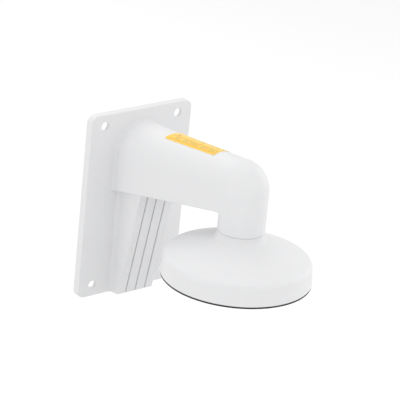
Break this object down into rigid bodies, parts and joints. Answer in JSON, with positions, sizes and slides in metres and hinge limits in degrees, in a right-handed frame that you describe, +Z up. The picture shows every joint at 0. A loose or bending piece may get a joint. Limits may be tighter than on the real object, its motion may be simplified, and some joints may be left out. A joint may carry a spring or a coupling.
{
  "type": "camera wall bracket",
  "caption": "Cast wall bracket for a dome camera: plate with corner holes, D-shaped arm on a grooved gusset, elbow and short neck, and a round pendant cap that screws onto it.",
  "frame": {"origin": "centre of the wall plate's back face, on the wall", "axes": "+Z up, +Y into the wall, so the arm reaches out along -Y"},
  "size_m": [0.14, 0.2305, 0.1852],
  "materials": {
    "white_casting": "satin",
    "black_rubber": "matte",
    "grey_silicone": "matte",
    "orange_label": "satin",
    "steel": "satin",
    "nylon": "matte"
  },
  "bodies": {
    "bracket": {"bracket_casting": "white_casting", "wall_gasket": "black_rubber", "arm_label": "orange_label", "earth_screw": "steel", "earth_washer": "steel"},
    "washer": {"neck_washer": "grey_silicone"},
    "cap": {"pendant_cap": "white_casting", "rim_gasket": "black_rubber", "cable_grommet": "black_rubber", "loop_saddle": "steel", "saddle_screws": "steel"},
    "lock": {"lock_screw": "steel", "lock_pad": "nylon"},
    "loop": {"safety_loop": "steel"}
  },
  "joints": [
    {"name": "cap_travel", "type": "slide", "parent": "bracket", "child": "washer", "axis": [0, 0, -1], "range_m": [0, 0.00924]},
    {"name": "cap_turn", "type": "hinge", "parent": "washer", "child": "cap", "pos_m": [0, -0.1606, 0], "axis": [0, 0, -1], "range_deg": [0, 1440.1]},
    {"name": "lock_travel", "type": "slide", "parent": "bracket", "child": "lock", "axis": [0, 1, 0], "range_m": [0, 0.0014]},
    {"name": "loop_swing", "type": "hinge", "parent": "cap", "child": "loop", "pos_m": [0, -0.1166, -0.00035], "axis": [1, 0, 0], "range_deg": [-75, 75]}
  ],
  "couplings": [
    {"joint": "cap_turn", "follows": "cap_travel", "rad_per_m": 2721.2}
  ]
}
